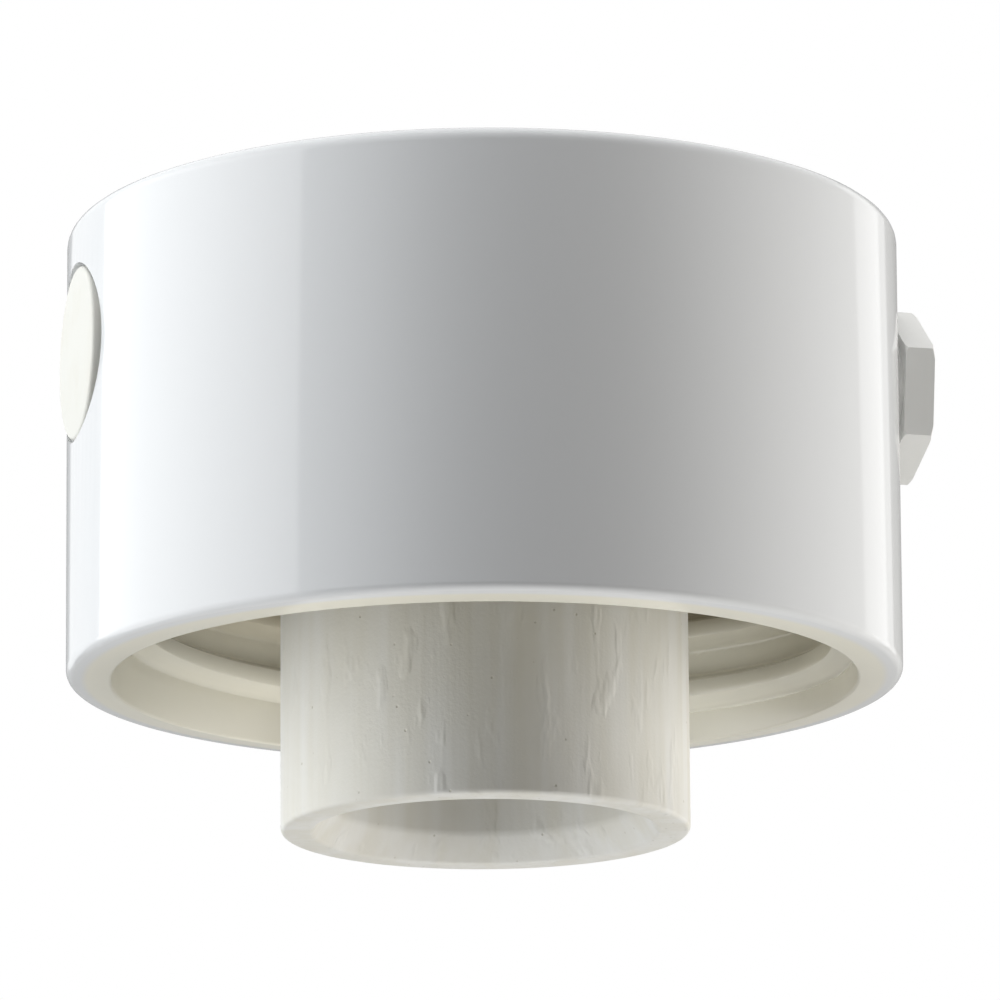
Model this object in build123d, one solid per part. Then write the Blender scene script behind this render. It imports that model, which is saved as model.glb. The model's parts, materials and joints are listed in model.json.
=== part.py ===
"""Porcelain ceiling lamp holder: a straight glazed drum with a glass thread round an E27 socket.

Millimetres, +Z up. The origin is the centre of the ceiling face, and the holder hangs down from it.
The cable entries lie on the X axis: the blanking plug at -X and the cable gland at +X.
"""

import os

from build123d import *

# Porcelain drum
drum_height = 55.0
rim_radius = 50.0  # outside, at the open end
drum_draft = 0.6  # the wall stands this much further out at the ceiling
ceiling_edge_round = 1.8
rim_edge_round = 0.9
mouth_bevel = 0.5
ceiling_plate = 7.0  # thickness, with the recess in its back
back_recess = 0.8  # depth of the hollow in the ceiling face
back_ring_width = 9.0
chamber_corner_round = 3.0

# Coarse moulded thread for the glass globe
mouth_wall = 4.9  # the drum's wall at the rim
mouth_flare = 0.8  # the wall's inside widens by this towards the rim
mouth_flare_height = 1.8
thread_height = 2.7
thread_pitch = 7.5
thread_turns = 1.7
thread_crest_width = 1.5
thread_flank_spread = 1.7  # how much lower and higher the rib is at its root than at its crest
thread_fade_turns = 0.16  # length of the tapered run at each end of the rib
thread_end_rise = 0.1  # height left at the very end, as a share of the full height
thread_end_width = 0.3
thread_burial = 0.6  # how deep the rib's root is sunk in the wall
thread_start_angle = -60.0
thread_start_height = 3.7  # of the rib's middle over the rim
ledge_width = 4.1
gasket_width = 3.5
gasket_thickness = 2.5
gasket_gap = 0.1  # over the thread rib

# Ceiling screws
ceiling_screw_inset = 7.2  # from the chamber's wall to the screw's axis
ceiling_screw_angle = 45.0
ceiling_hole_radius = 2.75
ceiling_pad_radius = 8.0
ceiling_boss_height = 2.0
screw_seal_radius = 5.8
screw_seal_bore = 3.2
screw_seal_thickness = 2.0
screw_seal_seat = 1.5  # depth of its counterbore

# Cable entries, alike on both sides
entry_drop = 17.1  # of the entry's axis under the ceiling face
entry_face_depth = 1.51  # of the flat spot-face
entry_face_radius = 11.2
entry_bore_radius = 8.5
entry_way_radius = 5.5
entry_lip = 1.5  # porcelain behind the bore's shoulder
entry_boss_radius = 12.0
entry_boss_sink = 2.0  # how far it runs into the drum's wall
entry_cut_excess = 2.0  # of the cutter past the drum's wall

# Blanking plug
plug_head_radius = 10.75
plug_head_thickness = 1.5
plug_head_round = 0.5
plug_stem_gap = 3.4  # between the stem's end and the bore's shoulder
plug_wall = 1.5

# Cable gland
nut_across_flats = 18.5
nut_head_gap = 2.0  # between the spot-face and the head
nut_head_thickness = 3.7
nut_shank_length = 8.2
nut_bore_radius = 5.0
nut_head_chamfer = 0.5
thrust_ring_thickness = 1.2
thrust_ring_bore = 5.2
seal_length = 4.3
seal_bore_radius = 4.0
seal_lead_in = 0.6
gland_play = 0.1

# Socket tube
tube_radius = 24.6
tube_drop = 18.7  # how far it stands out of the drum
tube_rim_width = 3.8
tube_cone_height = 3.4
tube_neck_radius = 18.7
tube_neck_depth = 11.2
tube_edge_round = 0.5
shell_room_play = 0.65  # round the shell's lip
tube_wall = 5.1  # round the carrier
carrier_room_depth = 8.0
lug_thickness = 5.0
lug_radius = 5.5
washer_gap = 0.4  # between the holder screws' washers and the tube

# Contact carrier
carrier_play = 0.3
carrier_plate = 4.0
carrier_boss_play = 0.4  # inside the shell's opening
carrier_boss_height = 0.7
barrier_thickness = 1.2
barrier_gap = 0.7  # to the terminals on both its sides
barrier_height = 9.5
barrier_length = 22.0

# Screw shell
shell_wall = 0.4
shell_thread_radius = 13.15  # inside
shell_thread_length = 14.7
shell_step_in = 0.95  # from the thread's radius to the cup's
shell_cup_depth = 8.0
shell_step = 0.9
shell_lip = 1.0
shell_flare = 0.7  # of the lip
shell_recess = 0.2  # the lip lies this far inside the tube's shoulder
shell_opening_gap = 0.2  # between the opening and the rivet heads
rivet_gap = 0.4  # between the rivet heads and the cup's wall
rivet_radius = 1.1
rivet_head_radius = 1.8
rivet_head_height = 0.8
rivet_crown = 0.6  # the head's flat crown, as a share of its radius
rivet_pad_radius = 3.0

# Sprung centre contact
guide_radius = 3.0
guide_flange_radius = 4.6
guide_flange = 0.8
guide_rise = 1.0  # over the carrier
stem_radius = 1.5
stem_play = 0.06
stem_groove_depth = 0.35
button_radius = 3.6
button_thickness = 1.6
button_dome = 0.9
spring_length = 4.2
spring_radius = 2.3
spring_wire = 0.45
spring_wire_sides = 6
spring_turns = 3.5
spring_play = 0.1
retainer_radius = 2.4
retainer_thickness = 0.6
retainer_play = 0.05

# Terminals
terminal_height = 7.5
terminal_reach = 13.0
terminal_tail = 4.5
terminal_foot = 1.2
live_wall = 0.95  # beside the contact guide
wire_hole_radius = 1.5
wire_hole_depth = 8.0
terminal_screw_radius = 1.5
terminal_screw_length = 4.0
terminal_screw_inset = 4.5
terminal_head_radius = 2.6
terminal_head_height = 1.8
earth_length = 11.0
earth_width = 8.0
earth_height = 7.0
earth_gap = 0.7  # between the terminal and the chamber's rounded corner
earth_angle = -45.0
earth_peg_radius = 1.8
earth_peg_length = 3.0
metal_play = 0.05

# Screws that hold the tube and the carrier
holder_screw_radius = 2.0
holder_screw_end = 2.0  # of the thread beyond the nut
holder_head_radius = 3.6
holder_head_height = 2.6
holder_hole_radius = 2.3
washer_radius = 4.5
washer_thickness = 0.8
nut_flats = 7.0
nut_height = 3.2
nut_pocket_play = 0.2
nut_floor = 7.0  # porcelain left between the nut and the post's end
post_radius = 5.5
slot_width = 1.0
slot_share = 0.45  # of a screw head's height

# Radii and distances from the drum's axis that follow from them
ceiling_radius = rim_radius + drum_draft
mouth_radius = rim_radius - mouth_wall
thread_root_radius = mouth_radius - mouth_flare
thread_crest_radius = thread_root_radius - thread_height
chamber_radius = thread_root_radius - ledge_width
ceiling_screw_offset = chamber_radius - ceiling_screw_inset
outer_radius_at_entry = rim_radius + drum_draft * (1 - entry_drop / drum_height)
entry_face = outer_radius_at_entry - entry_face_depth
nut_head_face = entry_face + nut_head_gap
nut_shank_end = nut_head_face - nut_shank_length
thrust_ring_end = nut_shank_end - thrust_ring_thickness
entry_shoulder = thrust_ring_end - gland_play - seal_length
entry_boss_end = entry_shoulder - entry_lip
carrier_room_radius = tube_radius - tube_wall
shell_cup_radius = shell_thread_radius - shell_step_in
shell_room_radius = shell_thread_radius + shell_wall + shell_flare + shell_room_play
rivet_offset = shell_cup_radius - rivet_gap - rivet_head_radius
shell_opening = rivet_offset - rivet_head_radius - shell_opening_gap
carrier_boss_radius = shell_opening - carrier_boss_play
live_half_width = guide_radius + metal_play + live_wall
barrier_middle = live_half_width + barrier_gap + barrier_thickness / 2
neutral_near_side = barrier_middle + barrier_thickness / 2 + barrier_gap
neutral_far_side = 2 * rivet_offset - neutral_near_side
lug_offset = tube_radius + washer_gap + washer_radius
earth_offset = chamber_radius - chamber_corner_round - earth_gap - earth_length / 2

# Levels that follow from them
rim_level = -drum_height
thread_top_turn = thread_turns - thread_fade_turns
thread_top_level = rim_level + thread_start_height + thread_top_turn * thread_pitch
rib_top_level = thread_top_level + thread_crest_width / 2 + thread_flank_spread
ledge_level = rib_top_level + gasket_gap + gasket_thickness
plate_level = -ceiling_plate
boss_level = plate_level - ceiling_boss_height
entry_level = -entry_drop
tube_rim_level = rim_level - tube_drop
neck_level = tube_rim_level + tube_neck_depth
shell_lip_level = neck_level + shell_recess
shell_thread_end = shell_lip_level + shell_lip
shell_thread_top = shell_thread_end + shell_thread_length
shell_cup_end = shell_thread_top + shell_step
carrier_foot_level = shell_cup_end + shell_cup_depth
carrier_room_level = carrier_foot_level - carrier_play
tube_top_level = carrier_room_level + carrier_room_depth
lug_level = tube_top_level - lug_thickness
carrier_top_level = tube_top_level + carrier_plate
boss_foot_level = carrier_foot_level - carrier_boss_height
terminal_top_level = carrier_top_level + terminal_height
flange_level = boss_foot_level - guide_flange
button_level = flange_level - spring_length
guide_top_level = carrier_top_level + guide_rise
washer_level = lug_level - washer_thickness
nut_level = carrier_top_level + nut_floor
holder_screw_tip = nut_level + nut_height + holder_screw_end


def turned(points, rounds=(), bevels=()):
    """Solid of revolution about Z from (radius, height) points, with some corners rounded or bevelled."""
    outline = make_face(Polyline(*points, close=True))
    for finish, corners in ((fillet, rounds), (chamfer, bevels)):
        for corner, size in corners:
            nearest = outline.vertices().sort_by_distance(Vertex(*corner))[0]
            outline = finish(nearest, size)
    return revolve(Plane.XZ * outline, Axis.Z)


def turned_on_entry(points, rounds=()):
    """The same about the cable entries' axis, from (distance from the drum's axis, radius) points."""
    lying = [(radius, distance) for distance, radius in points]
    lying_rounds = [((radius, distance), size) for (distance, radius), size in rounds]
    return Pos(0, 0, entry_level) * Rot(0, 90, 0) * turned(lying, lying_rounds)


def rod(radius, low, high, x=0, y=0):
    """Upright cylinder from one level to another."""
    return Pos(x, y, low) * Cylinder(radius, high - low, align=(Align.CENTER, Align.CENTER, Align.MIN))


def block(low, high):
    """Box between two corners."""
    size = [top - bottom for bottom, top in zip(low, high)]
    middle = [(top + bottom) / 2 for bottom, top in zip(low, high)]
    return Pos(*middle) * Box(*size)


def hexagon(across_flats, height):
    """Hexagonal prism about Z with its corners on the X axis."""
    return extrude(RegularPolygon(across_flats / 2, 6, major_radius=False), height)


def on_circle(radius, angle):
    """Location on a circle about Z, turned with it."""
    return Rot(0, 0, angle) * Pos(radius, 0, 0)


def both_sides(make):
    """A shape at +Y and the same at -Y."""
    return [make(side) for side in (1, -1)]


def slotted_head(radius, height, foot_level, head_level):
    """Screw head that ends at head_level, with a driver slot across the end away from foot_level."""
    low, high = sorted((foot_level, head_level))
    up = head_level > foot_level
    depth = slot_share * height
    slot_low = head_level - depth if up else head_level
    return rod(radius, low, high) - block(
        (-radius, -slot_width / 2, slot_low), (radius, slot_width / 2, slot_low + depth)
    )


def rib_section(wire, share, rise):
    """Section across the thread rib; rise is its height over the wall, from 0 to 1 at full height."""
    at = wire.position_at(share)
    inward = Vector(-at.X, -at.Y, 0).normalized()
    across = Plane(origin=at, x_dir=inward, z_dir=wire.tangent_at(share))
    width = thread_end_width + (1 - thread_end_width) * rise
    height = (thread_root_radius - thread_crest_radius) * rise
    crest = width * thread_crest_width / 2
    root = crest + width * thread_flank_spread
    points = [
        (-thread_burial, -root),
        (0, -root),
        (height, -crest),
        (height, crest),
        (0, root),
        (-thread_burial, root),
    ]
    return across * make_face(Polyline(*points, close=True))


def rib_run(start_turn, turns, rise_at_start, rise_at_end):
    """One stretch of the thread rib, from start_turn onwards."""
    start = Pos(0, 0, rim_level + thread_start_height + start_turn * thread_pitch)
    turned_start = start * Rot(0, 0, thread_start_angle + 360 * start_turn)
    wire = Wire((turned_start * Helix(thread_pitch, thread_pitch * turns, thread_root_radius)).edges())
    first = rib_section(wire, 0, rise_at_start)
    if rise_at_start == rise_at_end:
        return sweep(first, path=wire, is_frenet=True)
    last = rib_section(wire, 1, rise_at_end)
    return sweep([first, last], path=wire, multisection=True, is_frenet=True)


def thread_rib():
    """Helical rib inside the mouth: its full length, and a tapered run at each end."""
    fade = thread_fade_turns
    return [
        rib_run(fade, thread_turns - 2 * fade, 1, 1),
        rib_run(0, fade, thread_end_rise, 1),
        rib_run(thread_turns - fade, fade, 1, thread_end_rise),
    ]


def drum_shell():
    """The casting's turned form: drum wall, ceiling plate, wiring chamber and thread zone."""
    ring_inner = ceiling_radius - ceiling_edge_round - back_ring_width
    points = [
        (0, -back_recess),
        (ring_inner, -back_recess),
        (ring_inner, 0),
        (ceiling_radius, 0),
        (rim_radius, rim_level),
        (mouth_radius, rim_level),
        (thread_root_radius, rim_level + mouth_flare_height),
        (thread_root_radius, ledge_level),
        (chamber_radius, ledge_level),
        (chamber_radius, plate_level),
        (0, plate_level),
    ]
    rounds = [
        ((ceiling_radius, 0), ceiling_edge_round),
        ((rim_radius, rim_level), rim_edge_round),
        ((chamber_radius, plate_level), chamber_corner_round),
    ]
    bevels = [
        ((mouth_radius, rim_level), mouth_bevel),
        ((chamber_radius, ledge_level), mouth_bevel),
    ]
    return turned(points, rounds, bevels)


def entry_boss(side):
    """Thick ring inside the drum wall round a cable entry."""
    length = chamber_radius + entry_boss_sink - entry_boss_end
    boss = Cylinder(entry_boss_radius, length, align=(Align.CENTER, Align.CENTER, Align.MIN))
    return Rot(0, 0, 0 if side > 0 else 180) * Pos(entry_boss_end, 0, entry_level) * Rot(0, 90, 0) * boss


def entry_hole(side):
    """Spot-face, wide bore and narrow way of a cable entry, as one cutter."""
    past_wall = outer_radius_at_entry + entry_cut_excess
    cutter = turned_on_entry(
        [
            (entry_boss_end - 1, 0),
            (entry_boss_end - 1, entry_way_radius),
            (entry_shoulder, entry_way_radius),
            (entry_shoulder, entry_bore_radius),
            (entry_face, entry_bore_radius),
            (entry_face, entry_face_radius),
            (past_wall, entry_face_radius),
            (past_wall, 0),
        ]
    )
    return Rot(0, 0, 0 if side > 0 else 180) * cutter


def holder_post(side):
    """Post that the tube and the carrier are screwed to."""
    return rod(post_radius, carrier_top_level, plate_level + 1, y=side * lug_offset)


def nut_pocket(side):
    """Hexagonal pocket from the back of the ceiling plate, and the screw's way below it."""
    pocket = Pos(0, side * lug_offset, nut_level) * hexagon(nut_flats + 2 * nut_pocket_play, -nut_level + 1)
    return pocket + rod(holder_hole_radius, carrier_top_level - 1, nut_level, y=side * lug_offset)


def porcelain_housing():
    """The glazed casting."""
    casting = drum_shell()
    for run in thread_rib():
        casting += run
    screw_places = [on_circle(ceiling_screw_offset, ceiling_screw_angle + turn) for turn in (0, 180)]
    seal_room_radius = screw_seal_radius + metal_play
    for side, place in zip((1, -1), screw_places):
        casting += entry_boss(side)
        casting += holder_post(side)
        casting += place * rod(ceiling_pad_radius, boss_level, 0)
    for side, place in zip((1, -1), screw_places):
        casting -= entry_hole(side)
        casting -= nut_pocket(side)
        casting -= place * rod(ceiling_hole_radius, boss_level - 1, 1)
        casting -= place * rod(seal_room_radius, boss_level - 1, boss_level + screw_seal_seat)
    peg_room_end = plate_level + earth_peg_length + metal_play
    peg_room = rod(earth_peg_radius + metal_play, plate_level - 1, peg_room_end)
    return casting - on_circle(earth_offset, earth_angle) * peg_room


def glass_gasket():
    """Silicone ring on the ledge over the glass thread."""
    outer = thread_root_radius - metal_play
    return turned(
        [
            (outer - gasket_width, ledge_level - gasket_thickness),
            (outer, ledge_level - gasket_thickness),
            (outer, ledge_level),
            (outer - gasket_width, ledge_level),
        ],
        bevels=[((outer, ledge_level - gasket_thickness), gasket_thickness / 4)],
    )


def ceiling_screw_seals():
    """Rubber washers in the counterbores of the ceiling-screw holes."""
    seat = boss_level + screw_seal_seat
    washer = rod(screw_seal_radius, seat - screw_seal_thickness, seat)
    washer -= rod(screw_seal_bore, seat - screw_seal_thickness - 1, seat + 1)
    return [
        on_circle(ceiling_screw_offset, ceiling_screw_angle + turn) * washer for turn in (0, 180)
    ]


def blanking_plug():
    """Soft cup with a flat round head that closes the left cable entry."""
    stem_radius_out = entry_bore_radius - gland_play
    head_face = entry_face + plug_head_thickness
    stem_end = entry_shoulder + plug_stem_gap
    cup = turned_on_entry(
        [
            (head_face, 0),
            (head_face, plug_head_radius),
            (entry_face, plug_head_radius),
            (entry_face, stem_radius_out),
            (stem_end, stem_radius_out),
            (stem_end, stem_radius_out - plug_wall),
            (entry_face, stem_radius_out - plug_wall),
            (entry_face, 0),
        ],
        [((head_face, plug_head_radius), plug_head_round)],
    )
    return Rot(0, 0, 180) * cup


def gland_nut():
    """Hollow compression screw: hexagonal head and plain-shown threaded shank."""
    head = Rot(0, 90, 0) * hexagon(nut_across_flats, nut_head_thickness)
    head = Pos(nut_head_face, 0, entry_level) * head
    corner_radius = nut_across_flats / 3**0.5
    head_end = nut_head_face + nut_head_thickness
    limit = turned_on_entry(
        [
            (nut_head_face, 0),
            (nut_head_face, corner_radius),
            (head_end - nut_head_chamfer, corner_radius),
            (head_end, corner_radius - 2 * nut_head_chamfer),
            (head_end, 0),
        ]
    )
    shank = turned_on_entry(
        [
            (nut_shank_end, 0),
            (nut_shank_end, entry_bore_radius - gland_play),
            (nut_head_face, entry_bore_radius - gland_play),
            (nut_head_face, 0),
        ]
    )
    bore = turned_on_entry(
        [
            (nut_shank_end - 1, 0),
            (nut_shank_end - 1, nut_bore_radius),
            (head_end - nut_head_chamfer, nut_bore_radius),
            (head_end, nut_bore_radius + nut_head_chamfer),
            (head_end + 1, nut_bore_radius + nut_head_chamfer),
            (head_end + 1, 0),
        ]
    )
    return (head & limit) + shank - bore


def gland_thrust_ring():
    """Washer between the compression screw and the seal."""
    outer = entry_bore_radius - 2 * gland_play
    return turned_on_entry(
        [
            (thrust_ring_end, thrust_ring_bore),
            (thrust_ring_end, outer),
            (nut_shank_end - gland_play, outer),
            (nut_shank_end - gland_play, thrust_ring_bore),
        ]
    )


def gland_seal():
    """Rubber ring against the entry's shoulder, with a tapered lead-in for the cable."""
    outer = entry_bore_radius - gland_play
    seal_end = thrust_ring_end - gland_play
    return turned_on_entry(
        [
            (entry_shoulder, seal_bore_radius),
            (entry_shoulder, outer),
            (seal_end, outer),
            (seal_end, seal_bore_radius + seal_lead_in),
            (seal_end - seal_lead_in, seal_bore_radius),
        ]
    )


def screw_lug(side, low, high, reach_in):
    """Ear with a rounded end round a holder screw."""
    ear = rod(lug_radius, low, high, y=side * lug_offset)
    neck_low, neck_high = sorted((side * reach_in, side * lug_offset))
    return ear + block((-lug_radius, neck_low, low), (lug_radius, neck_high, high))


def holder_sleeve():
    """Unglazed porcelain tube round the lamp's cap, with two screw lugs at its top."""
    points = [
        (tube_radius - tube_rim_width, tube_rim_level),
        (tube_radius, tube_rim_level),
        (tube_radius, tube_top_level),
        (carrier_room_radius, tube_top_level),
        (carrier_room_radius, carrier_room_level),
        (shell_room_radius, carrier_room_level),
        (shell_room_radius, neck_level),
        (tube_neck_radius, neck_level),
        (tube_neck_radius, tube_rim_level + tube_cone_height),
    ]
    rounds = [((tube_radius, tube_rim_level), tube_edge_round)]
    bevels = [((tube_neck_radius, neck_level), 2 * tube_edge_round)]
    tube = turned(points, rounds, bevels)
    wall_middle = (tube_radius + carrier_room_radius) / 2
    for side in (1, -1):
        tube += screw_lug(side, lug_level, tube_top_level, wall_middle)
        tube -= rod(holder_hole_radius, lug_level - 1, tube_top_level + 1, y=side * lug_offset)
    return tube


def contact_carrier():
    """Porcelain insert on top of the tube, with the live parts on it."""
    spigot = carrier_room_radius - carrier_play
    carrier = turned(
        [
            (0, boss_foot_level),
            (carrier_boss_radius, boss_foot_level),
            (carrier_boss_radius, carrier_foot_level),
            (spigot, carrier_foot_level),
            (spigot, tube_top_level),
            (tube_radius - carrier_play, tube_top_level),
            (tube_radius - carrier_play, carrier_top_level),
            (0, carrier_top_level),
        ],
        bevels=[((spigot, carrier_foot_level), 2 * carrier_play)],
    )
    for side in (1, -1):
        carrier += screw_lug(side, tube_top_level, carrier_top_level, spigot)
    carrier += barrier()
    rivet_top = carrier_top_level + terminal_foot
    carrier += rod(rivet_pad_radius, carrier_top_level, rivet_top, y=-rivet_offset)
    for side in (1, -1):
        carrier -= rod(holder_hole_radius, tube_top_level - 1, carrier_top_level + 1, y=side * lug_offset)
        carrier -= rod(rivet_radius + metal_play, boss_foot_level, rivet_top + 1, y=side * rivet_offset)
    return carrier - rod(guide_radius + metal_play, boss_foot_level - 1, carrier_top_level + 1)


def barrier():
    """Wall between the live and the neutral terminal."""
    half = barrier_thickness / 2
    return block(
        (terminal_reach - barrier_length, barrier_middle - half, carrier_top_level),
        (terminal_reach, barrier_middle + half, carrier_top_level + barrier_height),
    )


def screw_shell():
    """E27 shell: perforated bottom, plain cup, wider threaded length and flared lip."""
    cup_out = shell_cup_radius + shell_wall
    thread_out = shell_thread_radius + shell_wall
    shell = turned(
        [
            (shell_opening, carrier_foot_level),
            (cup_out, carrier_foot_level),
            (cup_out, shell_cup_end),
            (thread_out, shell_thread_top),
            (thread_out, shell_thread_end),
            (thread_out + shell_flare, shell_lip_level),
            (shell_thread_radius + shell_flare, shell_lip_level),
            (shell_thread_radius, shell_thread_end),
            (shell_thread_radius, shell_thread_top),
            (shell_cup_radius, shell_cup_end),
            (shell_cup_radius, carrier_foot_level - shell_wall),
            (shell_opening, carrier_foot_level - shell_wall),
        ]
    )
    low = carrier_foot_level - 2 * shell_wall
    for side in (1, -1):
        shell -= rod(rivet_radius + metal_play, low, carrier_foot_level + 1, y=side * rivet_offset)
    return shell


def shell_rivets():
    """Rivets that hold the shell under the carrier; one also holds the neutral terminal."""
    low = carrier_foot_level - shell_wall
    high = carrier_top_level + terminal_foot
    rivet = rod(rivet_radius, low, high)
    crown = rivet_crown * rivet_head_radius
    for foot, end in ((low, low - rivet_head_height), (high, high + rivet_head_height)):
        rivet += turned([(0, foot), (rivet_head_radius, foot), (crown, end), (0, end)])
    return both_sides(lambda side: Pos(0, side * rivet_offset, 0) * rivet)


def contact_guide():
    """Brass bush in the carrier that the centre contact slides in."""
    bush = rod(guide_radius, boss_foot_level, guide_top_level)
    bush += rod(guide_flange_radius, flange_level, boss_foot_level)
    return bush - rod(stem_radius + stem_play, flange_level - 1, guide_top_level + 1)


def centre_contact():
    """Sprung brass plunger: domed button, stem and the groove for its retaining ring."""
    tip = button_level - button_thickness
    stem_top = guide_top_level + 2 * retainer_play + 2 * retainer_thickness
    groove_low = guide_top_level
    groove_high = guide_top_level + retainer_thickness + 2 * retainer_play
    groove_radius = stem_radius - stem_groove_depth
    return turned(
        [
            (0, tip),
            (button_radius / 2, tip),
            (button_radius, tip + button_dome),
            (button_radius, button_level),
            (stem_radius, button_level),
            (stem_radius, groove_low),
            (groove_radius, groove_low),
            (groove_radius, groove_high),
            (stem_radius, groove_high),
            (stem_radius, stem_top),
            (0, stem_top),
        ]
    )


def contact_retainer():
    """Ring on the stem that keeps the plunger in its guide."""
    low = guide_top_level + retainer_play
    ring = rod(retainer_radius, low, low + retainer_thickness)
    return ring - rod(stem_radius - stem_groove_depth + metal_play, low - 1, low + retainer_thickness + 1)


def contact_spring():
    """Coil spring between the guide's flange and the button."""
    half_wire = spring_wire / 2
    height = spring_length - spring_wire - 2 * spring_play
    low = button_level + spring_play + half_wire
    coil = Pos(0, 0, low) * Helix(height / spring_turns, height, spring_radius)
    wire = Wire(coil.edges())
    start = Plane(origin=wire.position_at(0), z_dir=wire.tangent_at(0))
    return sweep(start * RegularPolygon(half_wire, spring_wire_sides), path=wire, is_frenet=True)


def wire_clamp(low, high):
    """Brass block with a wire hole from its +X end and a screw hole over it."""
    middle_y = (low[1] + high[1]) / 2
    middle_z = (low[2] + high[2]) / 2
    hole = Pos(high[0] - wire_hole_depth, middle_y, middle_z) * Rot(0, 90, 0) * Cylinder(
        wire_hole_radius, wire_hole_depth + 1, align=(Align.CENTER, Align.CENTER, Align.MIN)
    )
    screw_x = high[0] - terminal_screw_inset
    screw_way = rod(terminal_screw_radius + metal_play, middle_z, high[2] + 1, x=screw_x, y=middle_y)
    return block(low, high) - hole - screw_way


def live_terminal():
    """Terminal over the contact guide."""
    clamp = wire_clamp(
        (-terminal_tail, -live_half_width, carrier_top_level),
        (terminal_reach, live_half_width, terminal_top_level),
    )
    return clamp - rod(guide_radius + metal_play, carrier_top_level - 1, terminal_top_level + 1)


def neutral_terminal():
    """Terminal held by a shell rivet through its foot."""
    near, far = neutral_near_side, neutral_far_side
    clamp_start = terminal_reach - 2 * terminal_screw_inset
    clamp = wire_clamp((clamp_start, near, carrier_top_level), (terminal_reach, far, terminal_top_level))
    foot_top = carrier_top_level + terminal_foot
    foot = block((-terminal_tail, near, carrier_top_level), (clamp_start, far, foot_top))
    foot -= rod(rivet_radius + metal_play, carrier_top_level - 1, terminal_top_level, y=rivet_offset)
    return clamp + foot


def terminal_screws():
    """Slotted screws of the live and neutral terminals."""
    foot = terminal_top_level
    screw = rod(terminal_screw_radius, foot - terminal_screw_length, foot)
    screw += slotted_head(terminal_head_radius, terminal_head_height, foot, foot + terminal_head_height)
    x = terminal_reach - terminal_screw_inset
    return [Pos(x, y, 0) * screw for y in (0, rivet_offset)]


def earth_terminal():
    """Brass terminal under the ceiling plate, held by its peg."""
    low = plate_level - earth_height
    half_length, half_width = earth_length / 2, earth_width / 2
    body = block((-half_length, -half_width, low), (half_length, half_width, plate_level))
    body += rod(earth_peg_radius, plate_level, plate_level + earth_peg_length)
    wire_level = Pos(0, 0, plate_level - earth_height / 2)
    body -= wire_level * Rot(90, 0, 0) * Cylinder(wire_hole_radius, earth_width + 2)
    body -= rod(terminal_screw_radius + metal_play, low - 1, plate_level - earth_height / 2)
    return on_circle(earth_offset, earth_angle) * body


def earth_screw():
    """Slotted screw of the earth terminal, driven from below."""
    foot = plate_level - earth_height
    screw = rod(terminal_screw_radius, foot, foot + terminal_screw_length / 2)
    screw += slotted_head(terminal_head_radius, terminal_head_height, foot, foot - terminal_head_height)
    return on_circle(earth_offset, earth_angle) * screw


def holder_screws():
    """Slotted screws from below through tube lug, carrier ear, post and nut."""
    screw = rod(holder_screw_radius, washer_level, holder_screw_tip)
    head_end = washer_level - holder_head_height
    screw += slotted_head(holder_head_radius, holder_head_height, washer_level, head_end)
    return both_sides(lambda side: Pos(0, side * lug_offset, 0) * screw)


def holder_washers():
    """Washers under the screw heads."""
    washer = rod(washer_radius, washer_level, lug_level)
    washer -= rod(holder_screw_radius + metal_play, washer_level - 1, lug_level + 1)
    return both_sides(lambda side: Pos(0, side * lug_offset, 0) * washer)


def holder_nuts():
    """Nuts caught in the hexagonal pockets."""
    nut = Pos(0, 0, nut_level) * hexagon(nut_flats, nut_height)
    nut -= rod(holder_screw_radius + metal_play, nut_level - 1, nut_level + nut_height + 1)
    return both_sides(lambda side: Pos(0, side * lug_offset, 0) * nut)


def save(name, shapes):
    """Write one node, from one shape or a group of separate ones."""
    group = shapes if isinstance(shapes, list) else [shapes]
    solids = [solid for shape in group for solid in shape.solids()]
    whole = solids[0] if len(solids) == 1 else Compound(children=solids)
    export_step(whole, f"parts/{name}.step")


pieces = [
    porcelain_housing,
    glass_gasket,
    ceiling_screw_seals,
    blanking_plug,
    gland_nut,
    gland_thrust_ring,
    gland_seal,
    holder_sleeve,
    contact_carrier,
    screw_shell,
    shell_rivets,
    contact_guide,
    centre_contact,
    contact_retainer,
    contact_spring,
    live_terminal,
    neutral_terminal,
    terminal_screws,
    earth_terminal,
    earth_screw,
    holder_screws,
    holder_washers,
    holder_nuts,
]

os.makedirs("parts", exist_ok=True)
for piece in pieces:
    save(piece.__name__, piece())
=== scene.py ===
"""Looks of the batten lamp holder: a glazed porcelain drum with a glass thread round an E27 socket.

Blender works in metres with +Z up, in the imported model's own frame. The pieces are drawn here in
millimetres, and each is brought down to metres when it is finished. The origin is the centre of the
ceiling face, and the holder hangs down from it, with its blanking plug at -X and its gland at +X.
"""

import json
import logging
import math
from collections.abc import Sequence
from dataclasses import dataclass
from enum import Enum
from typing import Any

import bmesh
import bpy
from mathutils import Matrix, Vector


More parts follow.
